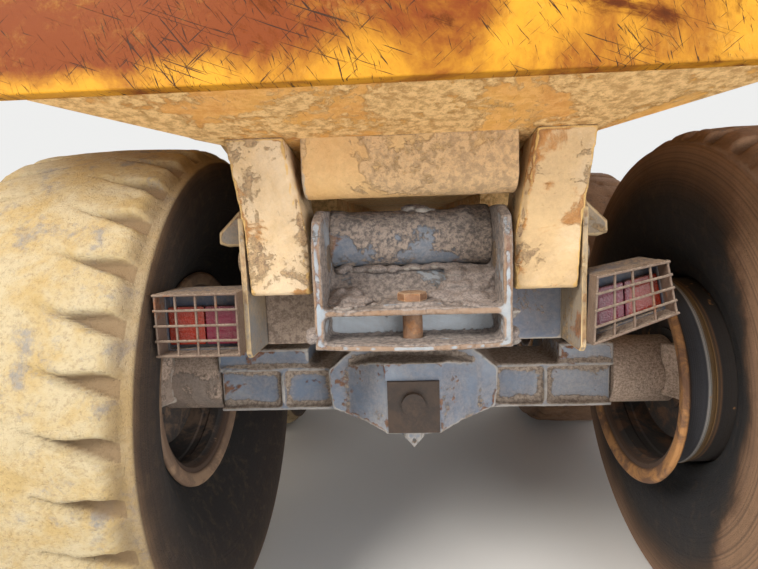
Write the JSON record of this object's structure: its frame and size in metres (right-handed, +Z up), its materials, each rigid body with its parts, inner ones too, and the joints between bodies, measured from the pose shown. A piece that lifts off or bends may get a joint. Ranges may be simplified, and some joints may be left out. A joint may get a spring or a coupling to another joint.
{
  "type": "rear dump unit of an articulated dump truck",
  "caption": "Rear half of an articulated dump truck: hitch flange, frame, two-axle bogie, wheels and a dump body tipped by hoist cylinders.",
  "frame": {"origin": "middle of the unit's footprint on the ground", "axes": "+X to the unit's right side, +Y forward to the hitch, +Z up"},
  "size_m": [2.9, 5.43, 2.85],
  "materials": {
    "frame_paint": "worn grey-blue paint with rust and mud",
    "body_paint": "worn yellow paint, scratched, with tan dust",
    "rust": "rusted",
    "dark_steel": "dull",
    "rim_paint": "rusty ochre",
    "tyre": "worn, caked with tan dust",
    "spring_rubber": "matte",
    "lens_red": "glossy",
    "lamp_plastic": "matte",
    "rod_chrome": "polished"
  },
  "bodies": {
    "rear_frame": {"frame_rails": "frame_paint", "hitch_head": "frame_paint", "front_cross_member": "frame_paint", "bogie_cross_tube": "frame_paint", "tail_side_plates": "frame_paint", "tail_cross_plates": "frame_paint", "tow_pocket": "frame_paint", "pocket_tube": "frame_paint", "tow_pin": "rust", "hinge_pins": "dark_steel", "walking_beams": "frame_paint", "spring_pads": "spring_rubber", "axle_rear": "frame_paint", "axle_middle": "frame_paint", "axle_covers": "rust", "hub_housings": "frame_paint", "brake_calipers": "rust", "prop_shafts": "dark_steel", "torque_rods": "frame_paint", "hoist_brackets": "frame_paint", "lamp_housings": "lamp_plastic", "lamp_lenses": "lens_red", "lamp_guards": "rust", "rest_pads": "spring_rubber"},
    "dump_body": {"body_floor": "body_paint", "wear_plate": "body_paint", "body_side_left": "body_paint", "body_side_right": "body_paint", "body_front_wall": "body_paint", "body_lip": "body_paint", "top_rails": "body_paint", "side_ribs": "body_paint", "body_sills": "body_paint", "hinge_ears": "body_paint", "ear_cross_beam": "body_paint", "hoist_lugs": "body_paint"},
    "wheel_rear_left": {"rim_rear_left": "rim_paint", "tyre_rear_left": "tyre"},
    "wheel_rear_right": {"rim_rear_right": "rim_paint", "tyre_rear_right": "tyre"},
    "wheel_middle_left": {"rim_middle_left": "rim_paint", "tyre_middle_left": "tyre"},
    "wheel_middle_right": {"rim_middle_right": "rim_paint", "tyre_middle_right": "tyre"},
    "hoist_barrel_left_body": {"hoist_barrel_left": "frame_paint"},
    "hoist_rod_left_body": {"hoist_rod_left": "rod_chrome"},
    "hoist_barrel_right_body": {"hoist_barrel_right": "frame_paint"},
    "hoist_rod_right_body": {"hoist_rod_right": "rod_chrome"}
  },
  "joints": [
    {"name": "body_tip", "type": "hinge", "parent": "rear_frame", "child": "dump_body", "pos_m": [0, -2.325, 1.262], "axis": [1, 0, 0], "range_deg": [0, 70]},
    {"name": "barrel_swing_left", "type": "hinge", "parent": "rear_frame", "child": "hoist_barrel_left_body", "pos_m": [-0.42, -0.775, 0.86], "axis": [1, 0, 0], "range_deg": [0, 82.47]},
    {"name": "rod_slide_left", "type": "slide", "parent": "hoist_barrel_left_body", "child": "hoist_rod_left_body", "axis": [0, 0.975, 0.2224], "range_m": [0, 1.7208]},
    {"name": "barrel_swing_right", "type": "hinge", "parent": "rear_frame", "child": "hoist_barrel_right_body", "pos_m": [0.42, -0.775, 0.86], "axis": [1, 0, 0], "range_deg": [0, 82.47]},
    {"name": "rod_slide_right", "type": "slide", "parent": "hoist_barrel_right_body", "child": "hoist_rod_right_body", "axis": [0, 0.975, 0.2224], "range_m": [0, 1.7208]},
    {"name": "roll_rear_left", "type": "hinge", "parent": "rear_frame", "child": "wheel_rear_left", "pos_m": [-1.02, -1.805, 0.81], "axis": [1, 0, 0], "continuous": true},
    {"name": "roll_rear_right", "type": "hinge", "parent": "rear_frame", "child": "wheel_rear_right", "pos_m": [1.02, -1.805, 0.81], "axis": [1, 0, 0], "continuous": true},
    {"name": "roll_middle_left", "type": "hinge", "parent": "rear_frame", "child": "wheel_middle_left", "pos_m": [-1.02, -0.135, 0.81], "axis": [1, 0, 0], "continuous": true},
    {"name": "roll_middle_right", "type": "hinge", "parent": "rear_frame", "child": "wheel_middle_right", "pos_m": [1.02, -0.135, 0.81], "axis": [1, 0, 0], "continuous": true}
  ],
  "couplings": [
    {"joint": "barrel_swing_left", "follows": "body_tip", "ratio": 1.178},
    {"joint": "rod_slide_left", "follows": "body_tip", "m_per_rad": 1.4084},
    {"joint": "barrel_swing_right", "follows": "body_tip", "ratio": 1.178},
    {"joint": "rod_slide_right", "follows": "body_tip", "m_per_rad": 1.4084}
  ]
}
